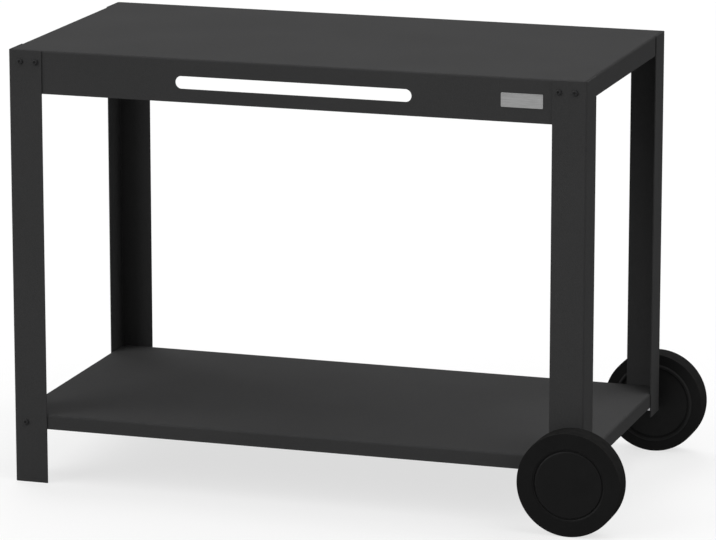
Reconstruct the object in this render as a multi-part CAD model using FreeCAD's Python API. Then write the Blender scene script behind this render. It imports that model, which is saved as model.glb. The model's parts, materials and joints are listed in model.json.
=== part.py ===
import FreeCAD, Part
import math
import os

# Serving trolley for an outdoor kitchen. A folded steel worktop and a lower shelf are screwed
# inside four angle legs. The front apron has a long grip slot, and two wheels on stub axles
# stand outside the legs at the right-hand end.
# Millimetres. X runs along the trolley towards its wheels, Y from front to back and Z up.
# The origin is on the floor, under the middle of the outline.

# Frame
FRAME_LENGTH = 1030.0
FRAME_DEPTH = 530.0
WORKTOP_HEIGHT = 770.0
TRAY_SHEET = 2.0
LEG_SHEET = 2.0
BEND_RADIUS = 2.0
LEG_FLANGE = 60.0
LEG_TOP_DROP = 1.0
LEG_END_MARGIN = 1.5

# Worktop and its apron
APRON_HEIGHT = 76.0
RIM_HEIGHT = 36.0
TOP_SCREW_DROP = 20.5
SLOT_LENGTH = 421.0
SLOT_HEIGHT = 22.0
SLOT_DROP = 41.7

# Lower shelf
SHELF_LIP = 26.0
SHELF_SCREW_DROP = 15.0
SHELF_NUT_GAP = 2.5
NOTCH_GAP = 1.5

# Button-head screws and flange nuts that hold the trays
SCREW_DIAMETER = 6.0
SCREW_HOLE_GAP = 0.25
SCREW_HEAD_DIAMETER = 10.5
SCREW_HEAD_HEIGHT = 3.3
SCREW_HEAD_RIM = 0.7
SCREW_DOME_BULGE = 0.6
SCREW_SOCKET = 4.0
SCREW_SOCKET_DEPTH = 2.0
SCREW_FROM_CORNER = 21.0
SCREW_FROM_EDGE = 11.0
SCREW_END = 1.5
NUT_WIDTH = 10.0
NUT_HEIGHT = 6.0
NUT_FLANGE_DIAMETER = 14.0
NUT_FLANGE_HEIGHT = 1.5
THREAD_GAP = 0.05

# Wheels
WHEEL_DIAMETER = 180.0
WHEEL_WIDTH = 42.0
WHEEL_GAP = 6.0
TYRE_HEIGHT = 28.0
TYRE_SHOULDER = 1.2
TYRE_CROWN = 0.2
TYRE_BEVEL = 1.0
TYRE_BEAD_WIDTH = 6.0
TYRE_BEAD_HEIGHT = 2.0
TYRE_KEY_WIDTH = 14.0
TYRE_KEY_HEIGHT = 3.0
DISH_DEPTH = 1.5
DISH_SLOPE = 3.5
FACE_INSET = 1.0
RIM_WALL = 5.0
RIM_SLOPE = 2.5
RIM_SLOPE_BULGE = 0.4
DISC_THICKNESS = 4.0
HUB_WALL = 8.0
RIB_COUNT = 6
RIB_THICKNESS = 3.0
BUSH_WALL = 3.0
HUB_PLAY = 0.3
CAP_THICKNESS = 2.2
CAP_SLOPE = 3.5
CAP_SLOPE_BULGE = 0.6
CAP_EDGE_GAP = 0.6
CAP_SKIRT_WALL = 2.0
CAP_SKIRT_DEPTH = 6.0
CAP_FIT_GAP = 0.15
CAP_HEAD_GAP = 1.5

# Stub axles: a hex bolt through each wheel, clamped in its leg between nuts
AXLE_DIAMETER = 10.0
AXLE_RUNNING_GAP = 0.05
AXLE_HOLE_GAP = 0.25
AXLE_HEAD_WIDTH = 17.0
AXLE_HEAD_HEIGHT = 6.4
AXLE_WASHER_DIAMETER = 18.0
AXLE_WASHER_THICKNESS = 2.0
AXLE_NUT_WIDTH = 17.0
AXLE_NUT_HEIGHT = 8.0
AXLE_JAM_NUT_HEIGHT = 5.0
AXLE_END = 4.0
HEX_CHAMFER_ANGLE = 30.0
HEX_LAND = 0.95

# Places that follow from the sizes above
wheel_radius = WHEEL_DIAMETER / 2
washer_radius = AXLE_WASHER_DIAMETER / 2
axle_inset = LEG_SHEET + BEND_RADIUS + washer_radius
overall_length = FRAME_LENGTH - axle_inset + wheel_radius
frame_left = -overall_length / 2
frame_right = frame_left + FRAME_LENGTH
frame_front = -FRAME_DEPTH / 2
axle_x = frame_right - axle_inset
axle_z = wheel_radius
tray_length = FRAME_LENGTH - 2 * LEG_SHEET
tray_depth = FRAME_DEPTH - 2 * LEG_SHEET
joint_thickness = LEG_SHEET + TRAY_SHEET
screw_outer_x = SCREW_FROM_CORNER
screw_inner_x = LEG_FLANGE - SCREW_FROM_EDGE
top_screw_z = WORKTOP_HEIGHT - TOP_SCREW_DROP
shelf_screw_z = axle_z + washer_radius + SHELF_NUT_GAP + NUT_FLANGE_DIAMETER / 2
shelf_top = shelf_screw_z + SHELF_SCREW_DROP
short_leg_end = axle_z - washer_radius - LEG_END_MARGIN

# Stations along a stub axle, counted outwards from the leg's outer face
jam_nut_end = AXLE_JAM_NUT_HEIGHT
hub_start = jam_nut_end + AXLE_WASHER_THICKNESS + HUB_PLAY
wheel_inner_face = WHEEL_GAP
dish_face = wheel_inner_face + DISH_DEPTH
wheel_outer_face = WHEEL_GAP + WHEEL_WIDTH
cap_outer_face = wheel_outer_face - FACE_INSET
cap_seat_face = cap_outer_face - CAP_THICKNESS
head_seat = cap_seat_face - CAP_HEAD_GAP - AXLE_HEAD_HEIGHT
hub_end = head_seat - AXLE_WASHER_THICKNESS - HUB_PLAY
leg_inner_face = -LEG_SHEET
nut_seat = leg_inner_face - AXLE_WASHER_THICKNESS
bolt_end = nut_seat - 2 * AXLE_NUT_HEIGHT - AXLE_END

# Radii of a wheel
bush_bore = AXLE_DIAMETER / 2 + AXLE_RUNNING_GAP
bush_radius = bush_bore + BUSH_WALL
hub_radius = bush_radius + HUB_WALL
tyre_seat = wheel_radius - TYRE_HEIGHT
recess_radius = tyre_seat - RIM_WALL
groove_foot = tyre_seat - RIM_SLOPE
cap_foot = groove_foot - CAP_EDGE_GAP

ORIGIN = FreeCAD.Vector(0, 0, 0)
ALONG_X = FreeCAD.Vector(1, 0, 0)
ALONG_Y = FreeCAD.Vector(0, 1, 0)
ALONG_Z = FreeCAD.Vector(0, 0, 1)


def face_of(points):
    # Each entry is the next corner, or a pair of an arc's middle point and its end.
    edges = []
    here = points[0]
    for entry in points[1:] + [points[0]]:
        if isinstance(entry, tuple):
            middle, end = entry
            edges.append(Part.Arc(here, middle, end).toShape())
        else:
            end = entry
            edges.append(Part.LineSegment(here, end).toShape())
        here = end
    return Part.Face(Part.Wire(edges))


def turned(points):
    return face_of(points).revolve(ORIGIN, ALONG_Z, 360)


def station(radius, along):
    return FreeCAD.Vector(radius, 0, along)


def quarter_arc(centre_radius, centre_along, size, towards_radius, towards_along, end):
    slant = size * math.sqrt(0.5)
    middle = station(centre_radius + towards_radius * slant, centre_along + towards_along * slant)
    return middle, end


def bulged_middle(start, end, bulge):
    chord = end - start
    sideways = FreeCAD.Vector(chord.z, 0, -chord.x).normalize()
    return (start + end) * 0.5 + sideways * bulge


def turned_towards_back(shape):
    turned_shape = shape.copy()
    turned_shape.rotate(ORIGIN, ALONG_X, -90)
    return turned_shape


def mirrored_to_other_side(shape):
    return shape.mirror(ORIGIN, ALONG_Y)


def at_axle(shape):
    # From stations along the axle to the rear wheel's place.
    placed = turned_towards_back(shape)
    placed.translate(FreeCAD.Vector(axle_x, FRAME_DEPTH / 2, axle_z))
    return placed


def ring(inner, outer, start, end):
    corners = [(inner, start), (outer, start), (outer, end), (inner, end)]
    return turned([station(radius, along) for radius, along in corners])


def hexagon(width, start, end, chamfer_start, chamfer_end):
    # A hexagonal prism whose corners are turned off at the chosen ends.
    corner = width / math.sqrt(3)
    turns = [math.radians(60 * step) for step in range(6)]
    points = [FreeCAD.Vector(corner * math.cos(turn), corner * math.sin(turn), start) for turn in turns]
    prism = face_of(points).extrude(ALONG_Z * (end - start))
    land = HEX_LAND * width / 2
    cut = (corner - land) * math.tan(math.radians(HEX_CHAMFER_ANGLE))
    envelope = [station(0, start)]
    if chamfer_start:
        envelope += [station(land, start), station(corner, start + cut)]
    else:
        envelope += [station(corner, start)]
    if chamfer_end:
        envelope += [station(corner, end - cut), station(land, end)]
    else:
        envelope += [station(corner, end)]
    envelope += [station(0, end)]
    return prism.common(turned(envelope))


def hex_nut(width, start, end, bore):
    return hexagon(width, start, end, True, True).cut(ring(0, bore, start, end))


def rounded_box(length, depth, bottom, top, radius):
    # A box centred on the frame, rounded at its upright corners and around its top.
    corner = FreeCAD.Vector(frame_left + (FRAME_LENGTH - length) / 2, -depth / 2, bottom)
    box = Part.makeBox(length, depth, top - bottom, corner)
    rounded = []
    for edge in box.Edges:
        heights = [vertex.Point.z for vertex in edge.Vertexes]
        upright = abs(heights[0] - heights[1]) > radius
        around_top = min(heights) > top - radius
        if upright or around_top:
            rounded.append(edge)
    return box.makeFillet(radius, rounded)


def folded_tray(top, lip):
    # A flat sheet with a lip folded down along each side and its corners welded.
    bottom = top - lip
    outside = rounded_box(tray_length, tray_depth, bottom, top, BEND_RADIUS + TRAY_SHEET)
    inside_length = tray_length - 2 * TRAY_SHEET
    inside_depth = tray_depth - 2 * TRAY_SHEET
    inside = rounded_box(inside_length, inside_depth, bottom - lip, top - TRAY_SHEET, BEND_RADIUS)
    return outside.cut(inside)


def screw_holes(places):
    radius = SCREW_DIAMETER / 2 + SCREW_HOLE_GAP
    holes = []
    for x, z in places:
        start = FreeCAD.Vector(x, frame_front, z)
        drill = Part.makeCylinder(radius, joint_thickness, start, ALONG_Y)
        holes += [drill, mirrored_to_other_side(drill)]
    return holes


def from_both_ends(distances, height):
    places = []
    for distance in distances:
        places += [(frame_left + distance, height), (frame_right - distance, height)]
    return places


top_screw_places = from_both_ends([screw_outer_x, screw_inner_x], top_screw_z)
shelf_screw_places = from_both_ends([screw_outer_x], shelf_screw_z)


def top_tray():
    tray = folded_tray(WORKTOP_HEIGHT, APRON_HEIGHT)
    apron_bottom = WORKTOP_HEIGHT - APRON_HEIGHT
    deeper = APRON_HEIGHT - RIM_HEIGHT
    behind_apron = FreeCAD.Vector(frame_left, frame_front + LEG_SHEET + TRAY_SHEET, apron_bottom)
    tray = tray.cut(Part.makeBox(FRAME_LENGTH, FRAME_DEPTH, deeper, behind_apron))
    apron_end = LEG_SHEET + TRAY_SHEET + BEND_RADIUS
    for x in (frame_left, frame_right - apron_end):
        corner = FreeCAD.Vector(x, frame_front, apron_bottom)
        tray = tray.cut(Part.makeBox(apron_end, FRAME_DEPTH, deeper, corner))
    return tray.cut([grip_slot()] + screw_holes(top_screw_places))


def grip_slot():
    end_radius = SLOT_HEIGHT / 2
    straight = SLOT_LENGTH / 2 - end_radius
    left = frame_left + FRAME_LENGTH / 2 - straight
    right = left + 2 * straight
    middle = WORKTOP_HEIGHT - SLOT_DROP
    upper = middle + end_radius
    lower = middle - end_radius

    def point(x, z):
        return FreeCAD.Vector(x, frame_front, z)

    outline = face_of([
        point(right, lower),
        (point(right + end_radius, middle), point(right, upper)),
        point(left, upper),
        (point(left - end_radius, middle), point(left, lower)),
    ])
    return outline.extrude(ALONG_Y * joint_thickness)


def shelf_tray():
    tray = folded_tray(shelf_top, SHELF_LIP)
    notch_start = FreeCAD.Vector(axle_x, frame_front + LEG_SHEET, axle_z)
    notch = Part.makeCylinder(washer_radius + NOTCH_GAP, TRAY_SHEET, notch_start, ALONG_Y)
    notches = [notch, mirrored_to_other_side(notch)]
    return tray.cut(notches + screw_holes(shelf_screw_places))


def leg(bottom, right, rear, drilled):
    # An angle folded from sheet: one flange faces the front or back, the other the end.
    outer = BEND_RADIUS + LEG_SHEET
    middle_outer = outer * (1 - math.sqrt(0.5))
    middle_inner = outer - BEND_RADIUS * math.sqrt(0.5)

    def point(x, y):
        return FreeCAD.Vector(x, y, bottom)

    section = face_of([
        point(0, LEG_FLANGE),
        point(0, outer),
        (point(middle_outer, middle_outer), point(outer, 0)),
        point(LEG_FLANGE, 0),
        point(LEG_FLANGE, LEG_SHEET),
        point(outer, LEG_SHEET),
        (point(middle_inner, middle_inner), point(LEG_SHEET, outer)),
        point(LEG_SHEET, LEG_FLANGE),
    ])
    angle = section.extrude(ALONG_Z * (WORKTOP_HEIGHT - LEG_TOP_DROP - bottom))
    angle.translate(FreeCAD.Vector(frame_left, frame_front, 0))
    if right:
        middle = FreeCAD.Vector(frame_left + FRAME_LENGTH / 2, 0, 0)
        angle = angle.mirror(middle, ALONG_X)
    if rear:
        angle = mirrored_to_other_side(angle)
    return angle.cut(drilled)


def axle_holes():
    start = FreeCAD.Vector(axle_x, frame_front, axle_z)
    hole = Part.makeCylinder(AXLE_DIAMETER / 2 + AXLE_HOLE_GAP, LEG_SHEET, start, ALONG_Y)
    return [hole, mirrored_to_other_side(hole)]


def button_screw():
    # The axis points into the trolley, with the leg's outer face at zero.
    radius = SCREW_HEAD_DIAMETER / 2
    top_radius = SCREW_SOCKET / math.sqrt(3) + SCREW_HEAD_RIM
    dome_start = station(top_radius, -SCREW_HEAD_HEIGHT)
    dome_end = station(radius, -SCREW_HEAD_RIM)
    shank = SCREW_DIAMETER / 2
    end = joint_thickness + NUT_HEIGHT + SCREW_END
    blank = turned([
        station(0, -SCREW_HEAD_HEIGHT),
        dome_start,
        (bulged_middle(dome_start, dome_end, SCREW_DOME_BULGE), dome_end),
        station(radius, 0),
        station(shank, 0),
        station(shank, end - SCREW_END / 2),
        station(shank - SCREW_END / 2, end),
        station(0, end),
    ])
    socket_floor = SCREW_SOCKET_DEPTH - SCREW_HEAD_HEIGHT
    return blank.cut(hexagon(SCREW_SOCKET, -SCREW_HEAD_HEIGHT, socket_floor, False, False))


def flange_nut():
    start = joint_thickness
    collar = start + NUT_FLANGE_HEIGHT
    end = start + NUT_HEIGHT
    bore = SCREW_DIAMETER / 2 + THREAD_GAP
    nut = hexagon(NUT_WIDTH, start, end, False, True)
    nut = nut.fuse(ring(0, NUT_FLANGE_DIAMETER / 2, start, collar)).removeSplitter()
    return nut.cut(ring(0, bore, start, end))


def at_screws(shape, places):
    # One copy of a fastener at each hole of the front, and its mirror image at the back.
    facing_back = turned_towards_back(shape)
    copies = []
    for x, z in places:
        copy = facing_back.copy()
        copy.translate(FreeCAD.Vector(x, frame_front, z))
        copies += [copy, mirrored_to_other_side(copy)]
    return Part.makeCompound(copies)


def tyre():
    # A solid ring with a slightly crowned tread, keyed over the rim's middle rib. On its inner side
    # a rounded bead runs round the wheel's dish.
    middle = (wheel_inner_face + wheel_outer_face) / 2
    key_start = middle - TYRE_KEY_WIDTH / 2
    key_end = middle + TYRE_KEY_WIDTH / 2
    key_radius = tyre_seat + TYRE_KEY_HEIGHT
    tread_edge = wheel_radius - TYRE_CROWN
    shoulder = tread_edge - TYRE_SHOULDER
    outer_shoulder = wheel_outer_face - TYRE_SHOULDER
    inner_shoulder = wheel_inner_face + TYRE_SHOULDER
    outer_arc_end = station(tread_edge, outer_shoulder)
    inner_arc_end = station(shoulder, wheel_inner_face)
    dish_edge = tyre_seat + DISH_SLOPE
    bead_top = station(dish_edge + TYRE_BEAD_WIDTH / 2, wheel_inner_face - TYRE_BEAD_HEIGHT)
    return turned([
        station(tyre_seat, dish_face),
        station(tyre_seat, key_start),
        station(key_radius, key_start),
        station(key_radius, key_end),
        station(tyre_seat, key_end),
        station(tyre_seat, cap_outer_face),
        station(tyre_seat + TYRE_BEVEL, wheel_outer_face),
        station(shoulder, wheel_outer_face),
        quarter_arc(shoulder, outer_shoulder, TYRE_SHOULDER, 1, 1, outer_arc_end),
        (station(wheel_radius, middle), station(tread_edge, inner_shoulder)),
        quarter_arc(shoulder, inner_shoulder, TYRE_SHOULDER, 1, -1, inner_arc_end),
        station(dish_edge + TYRE_BEAD_WIDTH, wheel_inner_face),
        (bead_top, station(dish_edge, wheel_inner_face)),
    ])


def rim():
    # The moulded wheel: hub, dished inner disc and tyre seat. The wall rounds down to the cap's
    # seat, so that a shallow groove runs round the cap.
    disc_end = dish_face + DISC_THICKNESS
    middle = (wheel_inner_face + wheel_outer_face) / 2
    key_radius = tyre_seat + TYRE_KEY_HEIGHT
    slope_top = station(tyre_seat, cap_outer_face)
    slope_foot = station(groove_foot, cap_seat_face)
    body = turned([
        station(bush_radius, hub_start),
        station(hub_radius, hub_start),
        station(hub_radius, dish_face),
        station(tyre_seat, dish_face),
        station(tyre_seat, middle - TYRE_KEY_WIDTH / 2),
        station(key_radius, middle - TYRE_KEY_WIDTH / 2),
        station(key_radius, middle + TYRE_KEY_WIDTH / 2),
        station(tyre_seat, middle + TYRE_KEY_WIDTH / 2),
        slope_top,
        (bulged_middle(slope_top, slope_foot, RIM_SLOPE_BULGE), slope_foot),
        station(recess_radius, cap_seat_face),
        station(recess_radius, disc_end),
        station(hub_radius, disc_end),
        station(hub_radius, hub_end),
        station(bush_radius, hub_end),
    ])
    ribs = []
    for step in range(RIB_COUNT):
        start = FreeCAD.Vector(hub_radius - HUB_WALL / 2, -RIB_THICKNESS / 2, disc_end)
        length = recess_radius + RIM_WALL / 2 - start.x
        rib = Part.makeBox(length, RIB_THICKNESS, hub_end - disc_end, start)
        rib.rotate(ORIGIN, ALONG_Z, 360 / RIB_COUNT * step)
        ribs.append(rib)
    return body.fuse(ribs).removeSplitter()


def bush():
    return ring(bush_bore, bush_radius, hub_start, hub_end)


def hub_cap():
    # A flat disc with a rounded edge on the rim's seat, and a skirt that grips the recess.
    skirt_outer = recess_radius - CAP_FIT_GAP
    skirt_inner = skirt_outer - CAP_SKIRT_WALL
    skirt_end = cap_seat_face - CAP_SKIRT_DEPTH
    edge_foot = station(cap_foot, cap_seat_face)
    edge_top = station(cap_foot - CAP_SLOPE, cap_outer_face)
    return turned([
        station(0, cap_seat_face),
        station(skirt_inner, cap_seat_face),
        station(skirt_inner, skirt_end),
        station(skirt_outer, skirt_end),
        station(skirt_outer, cap_seat_face),
        edge_foot,
        (bulged_middle(edge_foot, edge_top, CAP_SLOPE_BULGE), edge_top),
        station(0, cap_outer_face),
    ])


def axle_bolt():
    radius = AXLE_DIAMETER / 2
    point = AXLE_END / 4
    shank = turned([
        station(0, bolt_end),
        station(radius - point, bolt_end),
        station(radius, bolt_end + point),
        station(radius, head_seat),
        station(0, head_seat),
    ])
    head = hexagon(AXLE_HEAD_WIDTH, head_seat, head_seat + AXLE_HEAD_HEIGHT, False, True)
    return shank.fuse(head).removeSplitter()


def axle_washers():
    starts = [head_seat - AXLE_WASHER_THICKNESS, jam_nut_end, nut_seat]
    bore = AXLE_DIAMETER / 2 + AXLE_HOLE_GAP
    washers = [ring(bore, washer_radius, start, start + AXLE_WASHER_THICKNESS) for start in starts]
    return Part.makeCompound(washers)


def axle_jam_nut():
    return hex_nut(AXLE_NUT_WIDTH, 0, jam_nut_end, AXLE_DIAMETER / 2 + THREAD_GAP)


def axle_lock_nuts():
    # Two nuts tightened against each other inside the leg.
    bore = AXLE_DIAMETER / 2 + THREAD_GAP
    nuts = []
    for step in (1, 2):
        start = nut_seat - step * AXLE_NUT_HEIGHT
        nuts.append(hex_nut(AXLE_NUT_WIDTH, start, start + AXLE_NUT_HEIGHT, bore))
    return Part.makeCompound(nuts)


def save(name, shape):
    shape.exportStep(os.path.join("parts", name + ".step"))


def build():
    os.makedirs("parts", exist_ok=True)
    save("top_tray", top_tray())
    save("shelf_tray", shelf_tray())

    frame_holes = screw_holes(top_screw_places + shelf_screw_places)
    wheel_leg_holes = frame_holes + axle_holes()
    for side, rear in (("front", False), ("rear", True)):
        save(side + "_left_leg", leg(0, False, rear, frame_holes))
        save(side + "_right_leg", leg(short_leg_end, True, rear, wheel_leg_holes))

    save("top_screws", at_screws(button_screw(), top_screw_places))
    save("top_nuts", at_screws(flange_nut(), top_screw_places))
    save("shelf_screws", at_screws(button_screw(), shelf_screw_places))
    save("shelf_nuts", at_screws(flange_nut(), shelf_screw_places))

    wheel_pieces = {
        "tyre": tyre(),
        "wheel_rim": rim(),
        "wheel_bush": bush(),
        "hub_cap": hub_cap(),
        "axle_bolt": axle_bolt(),
        "axle_washers": axle_washers(),
        "axle_jam_nut": axle_jam_nut(),
        "axle_lock_nuts": axle_lock_nuts(),
    }
    for name, piece in wheel_pieces.items():
        placed = at_axle(piece)
        save("rear_" + name, placed)
        save("front_" + name, mirrored_to_other_side(placed))


build()
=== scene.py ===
import json
import math

import bpy
from mathutils import Matrix, Vector


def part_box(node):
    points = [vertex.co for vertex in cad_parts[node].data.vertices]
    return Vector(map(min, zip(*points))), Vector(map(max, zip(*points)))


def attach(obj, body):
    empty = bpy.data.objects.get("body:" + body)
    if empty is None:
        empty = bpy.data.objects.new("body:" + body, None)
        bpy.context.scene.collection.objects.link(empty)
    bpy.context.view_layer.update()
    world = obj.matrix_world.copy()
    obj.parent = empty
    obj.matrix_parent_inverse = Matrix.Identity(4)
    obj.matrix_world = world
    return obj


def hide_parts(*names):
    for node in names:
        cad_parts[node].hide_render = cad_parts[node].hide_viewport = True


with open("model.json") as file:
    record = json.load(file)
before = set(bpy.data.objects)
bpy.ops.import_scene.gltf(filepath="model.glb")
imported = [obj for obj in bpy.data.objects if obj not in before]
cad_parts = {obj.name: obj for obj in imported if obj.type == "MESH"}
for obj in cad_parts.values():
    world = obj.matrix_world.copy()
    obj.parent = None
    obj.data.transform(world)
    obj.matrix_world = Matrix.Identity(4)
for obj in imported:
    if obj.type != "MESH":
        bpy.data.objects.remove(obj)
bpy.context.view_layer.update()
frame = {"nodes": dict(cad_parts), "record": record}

# Studio scene of a serving trolley, in metres. X runs towards its wheels, Y from front to back and Z up.

# Camera that the photograph's edges give, in degrees and metres, with lens and sensor in millimetres
CAMERA_AZIMUTH = 17.84
CAMERA_ELEVATION = 12.79
CAMERA_DISTANCE = 7.708
CAMERA_AIM = Vector((-0.0040, -0.0083, 0.3623))
CAMERA_LENS = 220.41
CAMERA_SENSOR = 36.0

# Faint dome: its strength, and the sines of the angles above the horizon where it starts and is full
SKY_LIGHT = 0.36
SKY_START = 0.05
SKY_FULL = 0.45

# Three soft lamps far away: azimuth, elevation and width in degrees, and strength
LAMPS = {
    "front_left": (310.0, 26.0, 48.0, 1.17),
    "right": (100.0, 57.0, 68.0, 1.25),
    "back_left": (213.0, 40.0, 46.0, 1.19),
}

# Floor: half its side in metres, the greys that it bounces and shows, and how strong the shadow is
FLOOR_REACH = 30.0
FLOOR_BOUNCE = 0.38
FLOOR_WHITE = 0.985
FLOOR_SHADOW = 0.30

# Bare plate on the apron, in metres, and the steps round each of its corners
PLATE_LENGTH = 0.073
PLATE_HEIGHT = 0.0245
PLATE_THICKNESS = 0.001
PLATE_FROM_LEG = 0.016
PLATE_DROP = 0.0265
PLATE_CORNER = 0.002
PLATE_CORNER_STEPS = 6
PLATE_BEVEL = 0.00025
PLATE_BORDER = 0.0016
PLATE_SINK = 0.0003

# Button-head screws, in metres, with the steps over the head and the sides all round
SCREW_FROM_CORNER = 0.021
SCREW_FROM_EDGE = 0.011
SCREW_LENGTH = 0.0148
SCREW_RADIUS = 0.003
SCREW_PITCH = 0.001
SCREW_HEAD_RADIUS = 0.00525
SCREW_HEAD_HEIGHT = 0.0033
SCREW_HEAD_RIM = 0.0007
SCREW_DOME_BULGE = 0.0006
SCREW_DOME_STEPS = 6
SCREW_SOCKET = 0.004
SCREW_SOCKET_DEPTH = 0.002
SCREW_SOCKET_CHAMFER = 0.00025
SCREW_SIDES = 36

# Axle bolts, in metres, with the sides all round
AXLE_RADIUS = 0.005
AXLE_PITCH = 0.0015
AXLE_THREAD = 0.030
AXLE_HEAD_HEIGHT = 0.0064
AXLE_SIDES = 48

# Face of a hexagon head: its flat land as a share of the width, and the slope and steps of its chamfer
HEX_LAND = 0.95
HEX_CHAMFER = math.tan(math.radians(30))
HEX_CHAMFER_STEPS = 4

# Screw threads: the depth and the flats as shares of the pitch, and the steps in each turn
THREAD_DEPTH = 0.6134
THREAD_FLAT = 0.08
THREAD_STEPS = 8

# Edges of the added pieces that are flatter than this are smooth
SMOOTH_ANGLE = math.radians(32)

# Values between which most of a noise lies
NOISE_LOW = 0.3
NOISE_HIGH = 0.7

# Worn edges: cosines between the rounded and the plain surface where the wear is full and where it ends
EDGE_FULL = 0.75
EDGE_END = 0.97

# Samples that a rounded edge takes
BEVEL_SAMPLES = 4

# Tread of a tyre: how far under its outline the matt grey starts and is full, in metres
TREAD_START = 0.0014
TREAD_FULL = 0.0004

# Bead of a tyre: its distance from the tread, and how far from it the painted highlight is full and
# ends, in metres
BEAD_FROM_TREAD = 0.0215
BEAD_HIGHLIGHT_FULL = 0.0018
BEAD_HIGHLIGHT_END = 0.0036

# Inner side of a wheel: how far behind its face its looks, painted light and dust among them, are full
# and end, in metres
INNER_SIDE_FULL = 0.006
INNER_SIDE_END = 0.012

# Painted highlight round a hub cap's edge: it starts and is full within the cap's outline, and ends just
# outside it, in metres
CAP_HIGHLIGHT_START = 0.0035
CAP_HIGHLIGHT_FULL = 0.0014
CAP_HIGHLIGHT_KEPT = 0.0001
CAP_HIGHLIGHT_END = 0.0004


def towards(azimuth, elevation):
    # Direction from the object, where azimuth nought is the trolley's front.
    azimuth = math.radians(azimuth)
    elevation = math.radians(elevation)
    flat = math.cos(elevation)
    return Vector((math.sin(azimuth) * flat, -math.cos(azimuth) * flat, math.sin(elevation)))


def turned_to_object(direction):
    # Rotation of a camera or lamp that lies in that direction.
    return (-direction).to_track_quat("-Z", "Y").to_euler()


def make_camera():
    back = towards(CAMERA_AZIMUTH, CAMERA_ELEVATION)
    data = bpy.data.cameras.new("camera")
    data.lens = CAMERA_LENS
    data.sensor_width = CAMERA_SENSOR
    camera = bpy.data.objects.new("camera", data)
    camera.location = CAMERA_AIM + back * CAMERA_DISTANCE
    camera.rotation_euler = turned_to_object(back)
    bpy.context.scene.collection.objects.link(camera)
    bpy.context.scene.camera = camera


def make_lamps():
    for name, (azimuth, elevation, width, strength) in LAMPS.items():
        data = bpy.data.lights.new(name, "SUN")
        data.angle = math.radians(width)
        data.energy = strength
        lamp = bpy.data.objects.new(name, data)
        lamp.rotation_euler = turned_to_object(towards(azimuth, elevation))
        bpy.context.scene.collection.objects.link(lamp)


def grey(level):
    return (level, level, level, 1.0)


def wheel_radius(node):
    low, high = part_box(node)
    return (high.z - low.z) / 2


class Graph:
    """A node tree, with short calls for the nodes that the finishes and the studio share."""

    def __init__(self, owner):
        owner.use_nodes = True
        self.tree = owner.node_tree
        self.tree.nodes.clear()

    def add(self, kind, inputs=None, **settings):
        # A new node's outputs. Each input is a number, a colour or another node's output.
        node = self.tree.nodes.new("ShaderNode" + kind)
        for name, value in settings.items():
            setattr(node, name, value)
        for name, value in (inputs or {}).items():
            if isinstance(value, bpy.types.NodeSocket):
                self.tree.links.new(value, node.inputs[name])
            else:
                node.inputs[name].default_value = value
        return node.outputs

    def maths(self, operation, first, second=0.0):
        return self.add("Math", {0: first, 1: second}, operation=operation)[0]

    def vectors(self, operation, first, second=(0, 0, 0)):
        return self.add("VectorMath", {0: first, 1: second}, operation=operation)

    def place(self):
        return self.add("TexCoord")["Object"]

    def noise(self, size, detail=2.0, stretch=(1, 1, 1)):
        # Soft noise with lumps of about that size, in metres, drawn out along an axis of small stretch.
        place = self.vectors("MULTIPLY", self.place(), stretch)["Vector"]
        return self.add("TexNoise", {"Vector": place, "Scale": 1 / size, "Detail": detail})["Fac"]

    def spread(self, value, low, high, start=NOISE_LOW, end=NOISE_HIGH):
        # From low where the value is at start, or under it, to high where it is at end, or over it.
        ends = {"Value": value, "From Min": start, "From Max": end, "To Min": low, "To Max": high}
        return self.add("MapRange", ends)["Result"]

    def rise(self, value, start, end):
        return self.spread(value, 0.0, 1.0, start, end)

    def fall(self, value, start, end):
        return self.spread(value, 1.0, 0.0, start, end)

    def blend(self, share, first, second):
        # The colour sockets of a mix node are its seventh and eighth.
        return self.add("Mix", {0: share, 6: first, 7: second}, data_type="RGBA")[2]

    def mottle(self, noise, first, second, most=1.0):
        # The first colour, with up to that share of the second where the noise is high.
        return self.blend(self.spread(noise, 0.0, most), first, second)

    def rounded(self, radius):
        # The surface's direction as if its edges had that radius, in metres.
        return self.add("Bevel", {"Radius": radius}, samples=BEVEL_SAMPLES)["Normal"]

    def edges(self, radius, most=1.0):
        # That share along the edges of a piece and nought on its faces.
        plain = self.add("NewGeometry")["Normal"]
        agreement = self.vectors("DOT_PRODUCT", self.rounded(radius), plain)["Value"]
        return self.spread(agreement, most, 0.0, EDGE_FULL, EDGE_END)

    def from_axle(self):
        # Distance from the wheels' axle line, in metres.
        low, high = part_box("front_tyre")
        across = self.vectors("SUBTRACT", self.place(), (low + high) / 2)["Vector"]
        flat = self.vectors("MULTIPLY", across, (1, 0, 1))["Vector"]
        return self.vectors("LENGTH", flat)["Value"]

    def inner_side(self):
        # One on the wheels' sides that face the frame, and nought on their other sides.
        face = -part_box("front_tyre")[1].y
        from_middle = self.maths("ABSOLUTE", self.add("SeparateXYZ", {0: self.place()})["Y"])
        return self.fall(from_middle, face + INNER_SIDE_FULL, face + INNER_SIDE_END)

    def bump(self, height, distance, below):
        return self.add("Bump", {"Height": height, "Distance": distance, "Normal": below})["Normal"]

    def shader(self, inputs):
        return self.add("BsdfPrincipled", inputs)[0]

    def seen_directly(self):
        # One for rays from the camera or by way of a mirror or glass, nought for the light on things.
        path = self.add("LightPath")
        straight = self.maths("MAXIMUM", path["Is Camera Ray"], path["Is Glossy Ray"])
        return self.maths("MAXIMUM", straight, path["Is Transmission Ray"])

    def either(self, share, first, second):
        return self.add("MixShader", {0: share, 1: first, 2: second})[0]

    def output(self, kind, surface):
        self.add("Output" + kind, {"Surface": surface})


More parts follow.
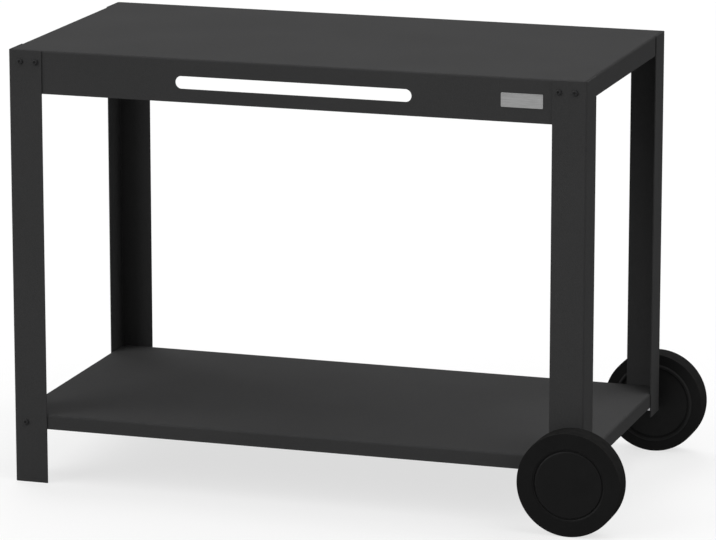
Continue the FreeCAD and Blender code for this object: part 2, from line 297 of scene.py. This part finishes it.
def make_world():
    # White where it is seen, and a faint dome, dark near the horizon, where it lights the object.
    world = bpy.data.worlds.new("studio")
    bpy.context.scene.world = world
    graph = Graph(world)
    direction = graph.add("TexCoord")["Generated"]
    height = graph.add("SeparateXYZ", {0: direction})["Z"]
    light = graph.spread(height, 0.0, SKY_LIGHT, SKY_START, SKY_FULL)
    dome = graph.add("Background", {"Color": grey(1.0), "Strength": light})[0]
    white = graph.add("Background", {"Color": grey(1.0)})[0]
    graph.output("World", graph.either(graph.seen_directly(), dome, white))


def make_floor():
    # White with a pale shadow where it is seen, grey where it bounces light up, and clear from below.
    reach = FLOOR_REACH
    corners = [(-reach, -reach, 0), (reach, -reach, 0), (reach, reach, 0), (-reach, reach, 0)]
    mesh = bpy.data.meshes.new("floor")
    mesh.from_pydata(corners, [], [(0, 1, 2, 3)])
    floor = bpy.data.objects.new("floor", mesh)
    bpy.context.scene.collection.objects.link(floor)
    material = bpy.data.materials.new("floor")
    graph = Graph(material)
    glow = graph.add("Emission", {"Color": grey(1.0)})[0]
    matt = graph.add("BsdfDiffuse", {"Color": grey(FLOOR_WHITE)})[0]
    bounce = graph.add("BsdfDiffuse", {"Color": grey(FLOOR_BOUNCE)})[0]
    above = graph.either(graph.seen_directly(), bounce, graph.either(FLOOR_SHADOW, glow, matt))
    clear = graph.add("BsdfTransparent")[0]
    graph.output("Material", graph.either(graph.add("NewGeometry")["Backfacing"], above, clear))
    mesh.materials.append(material)


def powder_coat(graph):
    # Satin black powder: an even coat with a faint cloudiness, orange peel, fine grain and paler edges.
    dark = (0.0500, 0.0500, 0.0505, 1.0)
    light = (0.0548, 0.0548, 0.0553, 1.0)
    speck = grey(0.085)
    worn = grey(0.11)
    cloud = graph.noise(size=0.16, detail=3.0)
    peel = graph.noise(size=0.0035)
    grain = graph.noise(size=0.0007)
    wear = graph.spread(graph.noise(size=0.02), low=0.05, high=0.35)
    coat = graph.mottle(cloud, dark, light)
    coat = graph.mottle(grain, coat, speck, most=0.50)
    coat = graph.blend(graph.maths("MULTIPLY", graph.edges(radius=0.0012), wear), coat, worn)
    normal = graph.rounded(radius=0.0004)
    normal = graph.bump(peel, distance=0.0002, below=normal)
    normal = graph.bump(grain, distance=0.0003, below=normal)
    return graph.shader({
        "Base Color": coat,
        "Roughness": graph.spread(cloud, low=0.70, high=0.80),
        "Specular IOR Level": 0.0,
        "Normal": normal,
    })


def black_fastener(graph):
    # Blackened steel: nearly black, and a little paler along the edges that a key or a thumb has rubbed.
    dark = (0.022, 0.022, 0.0225, 1.0)
    light = (0.031, 0.031, 0.0315, 1.0)
    worn = grey(0.07)
    cloud = graph.noise(size=0.004, detail=3.0)
    pitting = graph.noise(size=0.0004)
    black = graph.mottle(cloud, dark, light)
    return graph.shader({
        "Base Color": graph.blend(graph.edges(radius=0.0004, most=0.3), black, worn),
        "Roughness": graph.spread(cloud, low=0.48, high=0.62),
        "Specular IOR Level": 0.15,
        "Normal": graph.bump(pitting, distance=0.00001, below=graph.rounded(radius=0.0002)),
    })


def zinc_steel(graph):
    # Bright zinc plate: a cool grey metal, faintly clouded and scuffed.
    dark = (0.46, 0.47, 0.49, 1.0)
    light = (0.60, 0.60, 0.60, 1.0)
    cloud = graph.noise(size=0.006, detail=3.0)
    scuffs = graph.noise(size=0.0012)
    pitting = graph.noise(size=0.0006)
    return graph.shader({
        "Base Color": graph.mottle(cloud, dark, light),
        "Metallic": 1.0,
        "Roughness": graph.spread(scuffs, low=0.26, high=0.46),
        "Normal": graph.bump(pitting, distance=0.00001, below=graph.rounded(radius=0.0002)),
    })


def tyre_rubber(graph):
    # Solid rubber: faintly shiny walls, painted light on the inner side, a painted highlight on its bead
    # and a matt grey tread.
    dark = grey(0.0048)
    light = grey(0.0066)
    # Paler rubber for the inner side: painted light.
    painted_light_inside = grey(0.0110)
    # Paler ring on the bead of the inner side: painted highlight.
    painted_bead_highlight = grey(0.0255)
    clean_tread = grey(0.0170)
    dusty_tread = (0.0230, 0.0226, 0.0222, 1.0)
    radius = wheel_radius("front_tyre")
    from_axle = graph.from_axle()
    from_bead = graph.maths("ABSOLUTE", graph.maths("SUBTRACT", from_axle, radius - BEAD_FROM_TREAD))
    # Where the painted highlight lies round the bead.
    bead_highlight_share = graph.fall(from_bead, BEAD_HIGHLIGHT_FULL, BEAD_HIGHLIGHT_END)
    on_tread = graph.rise(from_axle, radius - TREAD_START, radius - TREAD_FULL)
    inner_side = graph.inner_side()
    rubber = graph.mottle(graph.noise(size=0.05), dark, light)
    # Painted light: the inner side turns to the paler rubber.
    rubber = graph.blend(inner_side, rubber, painted_light_inside)
    # Painted highlight: a paler ring on the bead of the inner side.
    rubber = graph.blend(graph.maths("MULTIPLY", bead_highlight_share, inner_side), rubber, painted_bead_highlight)
    grime = graph.noise(size=0.012, detail=4.0)
    shine = graph.noise(size=0.01)
    normal = graph.rounded(radius=0.0004)
    normal = graph.bump(graph.noise(size=0.006), distance=0.00008, below=normal)
    normal = graph.bump(graph.noise(size=0.0008), distance=0.00004, below=normal)
    wall = graph.shader({
        "Base Color": rubber,
        "Roughness": graph.spread(shine, low=0.50, high=0.62),
        "Specular IOR Level": 0.08,
        "Normal": normal,
    })
    tread = graph.shader({
        "Base Color": graph.mottle(grime, clean_tread, dusty_tread),
        "Roughness": graph.spread(shine, low=0.80, high=0.90),
        "Specular IOR Level": 0.0,
        "Normal": normal,
    })
    return graph.either(on_tread, wall, tread)


def wheel_plastic(graph):
    # Moulded black plastic with a fine grain, a painted highlight on the hub cap's edge, and dust with
    # painted light on the inner side.
    dark = grey(0.0062)
    light = grey(0.0080)
    worn = grey(0.030)
    # Paler plastic for the hub cap's rounded edge: painted highlight.
    painted_cap_highlight = grey(0.012)
    # Paler plastic for the inner side: dust, and partly painted light.
    dust_and_painted_light = grey(0.018)
    radius = wheel_radius("front_hub_cap")
    from_axle = graph.from_axle()
    on_edge = graph.rise(from_axle, radius - CAP_HIGHLIGHT_START, radius - CAP_HIGHLIGHT_FULL)
    on_cap = graph.fall(from_axle, radius + CAP_HIGHLIGHT_KEPT, radius + CAP_HIGHLIGHT_END)
    inner_side = graph.inner_side()
    outer_side = graph.maths("SUBTRACT", 1.0, inner_side)
    # Painted highlight: the cap's rounded edge on the outer side turns paler.
    cap_highlight_share = graph.maths("MULTIPLY", graph.maths("MULTIPLY", on_edge, on_cap), outer_side)
    # Mottle of the dust and painted light on the inner side.
    dust_and_light_mottle = graph.spread(graph.noise(size=0.012, detail=4.0), low=0.75, high=0.95)
    cloud = graph.noise(size=0.03, detail=3.0)
    grain = graph.noise(size=0.0005)
    moulding = graph.mottle(cloud, dark, light)
    moulding = graph.blend(graph.edges(radius=0.0008, most=0.25), moulding, worn)
    # Painted highlight on the cap's edge.
    moulding = graph.blend(cap_highlight_share, moulding, painted_cap_highlight)
    # Dust with painted light over the inner side.
    moulding = graph.blend(graph.maths("MULTIPLY", inner_side, dust_and_light_mottle), moulding, dust_and_painted_light)
    return graph.shader({
        "Base Color": moulding,
        "Roughness": graph.spread(cloud, low=0.34, high=0.44),
        "Specular IOR Level": 0.08,
        "Normal": graph.bump(grain, distance=0.00003, below=graph.rounded(radius=0.0004)),
    })


def bush_nylon(graph):
    # Plain cream nylon, a little uneven from the mould.
    dark = (0.50, 0.49, 0.45, 1.0)
    light = (0.60, 0.59, 0.55, 1.0)
    cloud = graph.noise(size=0.008, detail=3.0)
    ripple = graph.noise(size=0.0015)
    return graph.shader({
        "Base Color": graph.mottle(cloud, dark, light),
        "Roughness": graph.spread(cloud, low=0.40, high=0.55),
        "Normal": graph.bump(ripple, distance=0.00002, below=graph.rounded(radius=0.0002)),
    })


def bare_plate(graph):
    # Brushed metal: long fine streaks along the plate.
    dark = grey(0.22)
    light = grey(0.31)
    bright = grey(0.38)
    streaks = graph.noise(size=0.00025, detail=3.0, stretch=(0.02, 1, 1))
    bands = graph.noise(size=0.0016, stretch=(0.05, 1, 1))
    metal = graph.mottle(streaks, dark, light)
    return graph.shader({
        "Base Color": graph.mottle(bands, metal, bright, most=0.35),
        "Metallic": 1.0,
        "Roughness": graph.spread(streaks, low=0.30, high=0.46),
        "Normal": graph.bump(streaks, distance=0.00001, below=graph.rounded(radius=0.0001)),
    })


def make_material(finish):
    material = bpy.data.materials.new(finish.__name__)
    graph = Graph(material)
    graph.output("Material", finish(graph))
    return material


# Each finish has the name of its slot in the record
FINISHES = (powder_coat, black_fastener, zinc_steel, tyre_rubber, wheel_plastic, bush_nylon, bare_plate)
MATERIALS = {finish.__name__: make_material(finish) for finish in FINISHES}


def dress_nodes():
    for subpart in frame["record"]["subparts"]:
        node = frame["nodes"][subpart["node"]]
        node.data.materials.clear()
        node.data.materials.append(MATERIALS[subpart["material_slot"]])


def add_piece(name, points, faces, slot):
    mesh = bpy.data.meshes.new(name)
    mesh.from_pydata(points, [], faces)
    mesh.shade_smooth()
    mesh.set_sharp_from_angle(angle=SMOOTH_ANGLE)
    mesh.materials.append(MATERIALS[slot])
    piece = bpy.data.objects.new(name, mesh)
    bpy.context.scene.collection.objects.link(piece)
    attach(piece, "frame")
    return piece


def skin(rings):
    # Faces between rings that have the same number of points, and one over each end.
    sides = len(rings[0])
    points = [point for ring in rings for point in ring]
    faces = [tuple(reversed(range(sides)))]
    for start in range(0, len(points) - sides, sides):
        for step in range(sides):
            after = (step + 1) % sides
            faces.append((start + step, start + after, start + sides + after, start + sides + step))
    faces.append(tuple(range(len(points) - sides, len(points))))
    return points, faces


def plate_ring(margin, proud):
    # The plate's outline, drawn in by a margin, at a distance in front of the apron.
    apron_low, apron_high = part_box("top_tray")
    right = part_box("front_right_leg")[0].x - PLATE_FROM_LEG
    left = right - PLATE_LENGTH
    top = apron_high.z - PLATE_DROP
    bottom = top - PLATE_HEIGHT
    radius = max(PLATE_CORNER - margin, PLATE_BEVEL)
    inset = margin + radius
    corners = [
        (right - inset, top - inset),
        (left + inset, top - inset),
        (left + inset, bottom + inset),
        (right - inset, bottom + inset),
    ]
    y = apron_low.y - proud
    ring = []
    for turn, (x, z) in enumerate(corners):
        for step in range(PLATE_CORNER_STEPS + 1):
            angle = math.pi / 2 * (turn + step / PLATE_CORNER_STEPS)
            ring.append((x + radius * math.cos(angle), y, z + radius * math.sin(angle)))
    return ring


def add_plate():
    # A blank plate with a raised border.
    rings = [
        plate_ring(0.0, 0.0),
        plate_ring(0.0, PLATE_THICKNESS - PLATE_BEVEL),
        plate_ring(PLATE_BEVEL, PLATE_THICKNESS),
        plate_ring(PLATE_BORDER, PLATE_THICKNESS),
        plate_ring(PLATE_BORDER + PLATE_SINK, PLATE_THICKNESS - PLATE_SINK),
    ]
    points, faces = skin(rings)
    add_piece("bare_plate", points, faces, "bare_plate")


def angles(sides):
    return [2 * math.pi * step / sides for step in range(sides)]


def hexagon(width, sides):
    # Distances from the middle to the outline of a hexagon with a corner at angle nought.
    sixth = math.pi / 3
    return [width / 2 / math.cos(angle % sixth - sixth / 2) for angle in angles(sides)]


def turned_ring(along, radii):
    # Points round the Y axis, one for each radius.
    ring = []
    for radius, angle in zip(radii, angles(len(radii))):
        ring.append((radius * math.cos(angle), along, -radius * math.sin(angle)))
    return ring


def round_ring(along, radius, sides):
    return turned_ring(along, [radius] * sides)


def thread_rings(start, end, radius, pitch, sides):
    # A screw thread that fades in over its first turn and has a pointed end.
    depth = THREAD_DEPTH * pitch
    count = round((end - start) / pitch * THREAD_STEPS)
    rings = []
    for step in range(count + 1):
        along = start + (end - start) * step / count
        fade = min((along - start) / pitch, 1.0)
        limit = radius - depth + end - along
        radii = []
        for angle in angles(sides):
            phase = (along / pitch - angle / (2 * math.pi)) % 1.0
            flank = (1 - abs(2 * phase - 1) - THREAD_FLAT) / (1 - 2 * THREAD_FLAT)
            crest = min(max(flank, 0.0), 1.0)
            radii.append(min(radius - depth * fade * (1 - crest), limit))
        rings.append(turned_ring(along, radii))
    return rings


def axle_bolt_rings(width, length):
    # A hexagon bolt, from its head's face inwards.
    outline = hexagon(width, AXLE_SIDES)
    land = HEX_LAND * width / 2
    chamfer = (width / math.sqrt(3) - land) * HEX_CHAMFER
    rings = []
    for step in range(HEX_CHAMFER_STEPS + 1):
        depth = chamfer * step / HEX_CHAMFER_STEPS
        cone = land + depth / HEX_CHAMFER
        rings.append(turned_ring(depth, [min(radius, cone) for radius in outline]))
    rings.append(turned_ring(AXLE_HEAD_HEIGHT, outline))
    rings.append(round_ring(AXLE_HEAD_HEIGHT, AXLE_RADIUS, AXLE_SIDES))
    return rings + thread_rings(length - AXLE_THREAD, length, AXLE_RADIUS, AXLE_PITCH, AXLE_SIDES)


def screw_rings():
    # A button-head screw with a hexagon socket, from the socket's floor out and over the head.
    socket = hexagon(SCREW_SOCKET, SCREW_SIDES)
    corner = SCREW_SOCKET / math.sqrt(3)
    rings = [
        turned_ring(SCREW_SOCKET_DEPTH, socket),
        turned_ring(SCREW_SOCKET_CHAMFER, socket),
        round_ring(0.0, corner + SCREW_SOCKET_CHAMFER, SCREW_SIDES),
    ]
    top = corner + SCREW_HEAD_RIM
    run = SCREW_HEAD_RADIUS - top
    fall = SCREW_HEAD_HEIGHT - SCREW_HEAD_RIM
    slant = math.hypot(run, fall)
    for step in range(SCREW_DOME_STEPS + 1):
        share = step / SCREW_DOME_STEPS
        bulge = 4 * share * (1 - share) * SCREW_DOME_BULGE
        radius = top + run * share + bulge * fall / slant
        along = fall * share - bulge * run / slant
        rings.append(round_ring(along, radius, SCREW_SIDES))
    rings.append(round_ring(SCREW_HEAD_HEIGHT, SCREW_HEAD_RADIUS, SCREW_SIDES))
    rings.append(round_ring(SCREW_HEAD_HEIGHT, SCREW_RADIUS, SCREW_SIDES))
    return rings + thread_rings(SCREW_HEAD_HEIGHT, SCREW_LENGTH, SCREW_RADIUS, SCREW_PITCH, SCREW_SIDES)


def add_fasteners(node, rings, places, slot):
    # Copies of one fastener, each with its head's face at a place and pointing to the trolley's middle.
    shape_points, shape_faces = skin(rings)
    points = []
    faces = []
    for place in places:
        turn = math.pi if place.y > 0 else 0.0
        matrix = Matrix.Translation(place) @ Matrix.Rotation(turn, 4, "Z")
        first = len(points)
        points += [matrix @ Vector(point) for point in shape_points]
        faces += [tuple(first + number for number in face) for face in shape_faces]
    piece = add_piece("threaded_" + node, points, faces, slot)
    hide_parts(node)


def add_screws(node, distances):
    # Screws at those distances from the frame's ends, along its front and its back.
    low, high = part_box(node)
    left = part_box("front_left_leg")[0].x
    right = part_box("front_right_leg")[1].x
    middle = (low.z + high.z) / 2
    columns = [left + distance for distance in distances] + [right - distance for distance in distances]
    places = [Vector((x, y, middle)) for x in columns for y in (low.y, high.y)]
    add_fasteners(node, screw_rings(), places, "black_fastener")


def add_all_screws():
    low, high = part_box("front_left_leg")
    inner_column = high.x - low.x - SCREW_FROM_EDGE
    add_screws("top_screws", [SCREW_FROM_CORNER, inner_column])
    add_screws("shelf_screws", [SCREW_FROM_CORNER])


def add_axle_bolt(node):
    low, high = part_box(node)
    middle = (low + high) / 2
    outermost = low.y if middle.y < 0 else high.y
    place = Vector((middle.x, outermost, middle.z))
    add_fasteners(node, axle_bolt_rings(high.z - low.z, high.y - low.y), [place], "zinc_steel")


make_camera()
make_lamps()
make_world()
make_floor()
bpy.context.scene.view_settings.view_transform = "Standard"
dress_nodes()
add_plate()
add_all_screws()
add_axle_bolt("front_axle_bolt")
add_axle_bolt("rear_axle_bolt")
